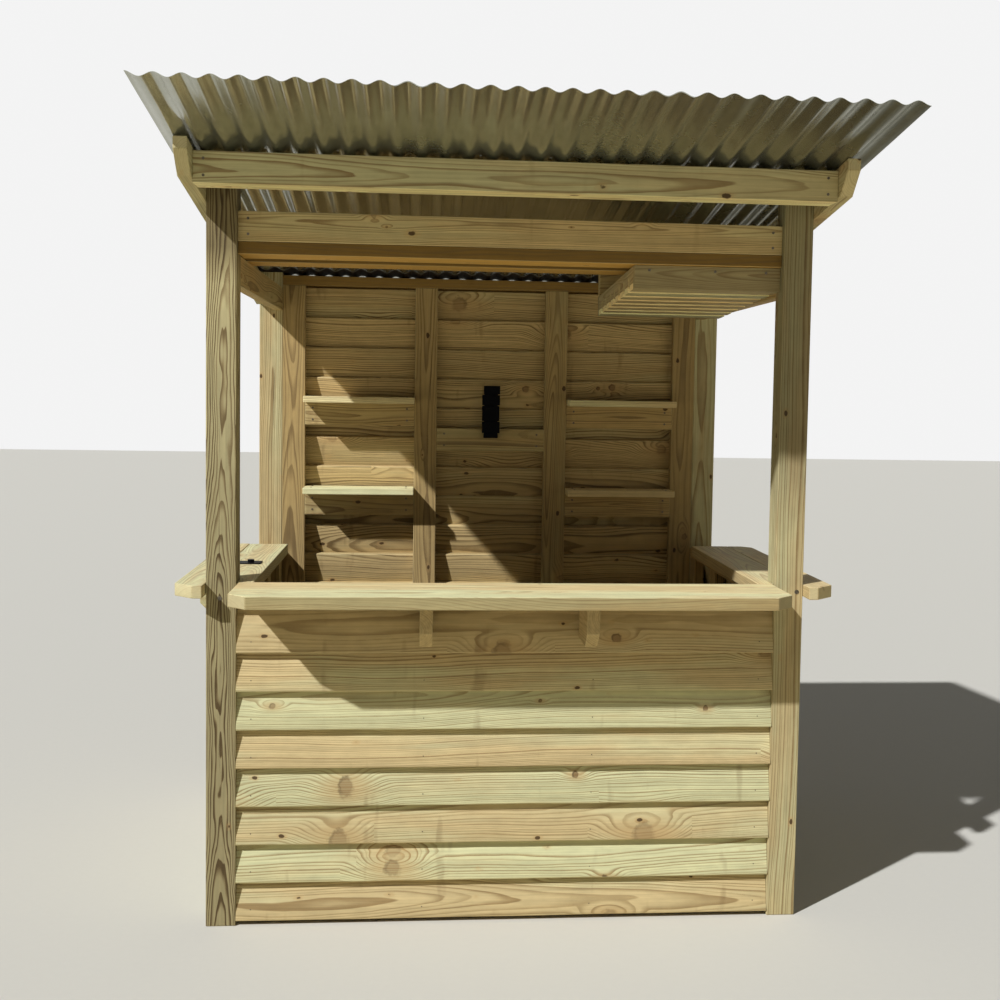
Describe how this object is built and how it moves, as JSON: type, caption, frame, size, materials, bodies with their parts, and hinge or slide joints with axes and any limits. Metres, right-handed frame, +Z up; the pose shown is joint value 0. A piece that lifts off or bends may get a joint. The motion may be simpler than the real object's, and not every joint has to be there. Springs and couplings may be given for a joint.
{
  "type": "outdoor bar",
  "caption": "Open timber bar hut with a sloping corrugated metal roof, plank counters on three sides, lap board walls, a shelved back wall and a hung glass rack.",
  "frame": {"origin": "on the ground under the middle of the roof, halfway across the bar and halfway along the roof sheets", "axes": "+Z up, +Y from the front counter to the back wall, +X to the right as the guest sees it"},
  "size_m": [2.009, 2.416, 2.3833],
  "materials": {
    "posts": "rough sawn",
    "roof_frame": "rough sawn",
    "boards": "rough sawn",
    "counter": "planed",
    "inside": "rough sawn",
    "rack": "planed",
    "roof_sheet": "galvanised",
    "black_fittings": "matt"
  },
  "bodies": {
    "root": {"back_wall_boards": "boards", "back_wall_bottom_rail": "inside", "back_wall_plate": "inside", "back_wall_studs": "inside", "counter_strap": "black_fittings", "eave_beam_front": "roof_frame", "eave_beam_rear": "roof_frame", "front_brackets": "counter", "front_counter": "counter", "front_wall_boards": "boards", "front_wall_bottom_rail": "inside", "front_wall_plate": "inside", "front_wall_studs": "inside", "header": "roof_frame", "header_plate": "roof_frame", "inner_plate": "roof_frame", "ledgers_left": "inside", "ledgers_right": "inside", "left_brackets": "counter", "left_counter": "counter", "left_wall_boards": "boards", "left_wall_bottom_rail": "inside", "left_wall_plate": "inside", "left_wall_studs": "inside", "middle_rail": "inside", "post_back_left": "posts", "post_back_right": "posts", "post_front_left": "posts", "post_front_right": "posts", "rack_back_board": "rack", "rack_front_board": "rack", "rack_hanger": "rack", "rack_left_board": "rack", "rack_right_board": "rack", "rack_slats": "rack", "rafter_left": "roof_frame", "rafter_right": "roof_frame", "right_brackets": "counter", "right_counter": "counter", "right_wall_boards": "boards", "right_wall_bottom_rail": "inside", "right_wall_plate": "inside", "right_wall_studs": "inside", "roof_sheet_left": "roof_sheet", "roof_sheet_middle": "roof_sheet", "roof_sheet_right": "roof_sheet", "shelves_left": "inside", "shelves_right": "inside", "top_rail_left": "roof_frame", "top_rail_right": "roof_frame", "wall_strip": "black_fittings"}
  },
  "joints": []
}
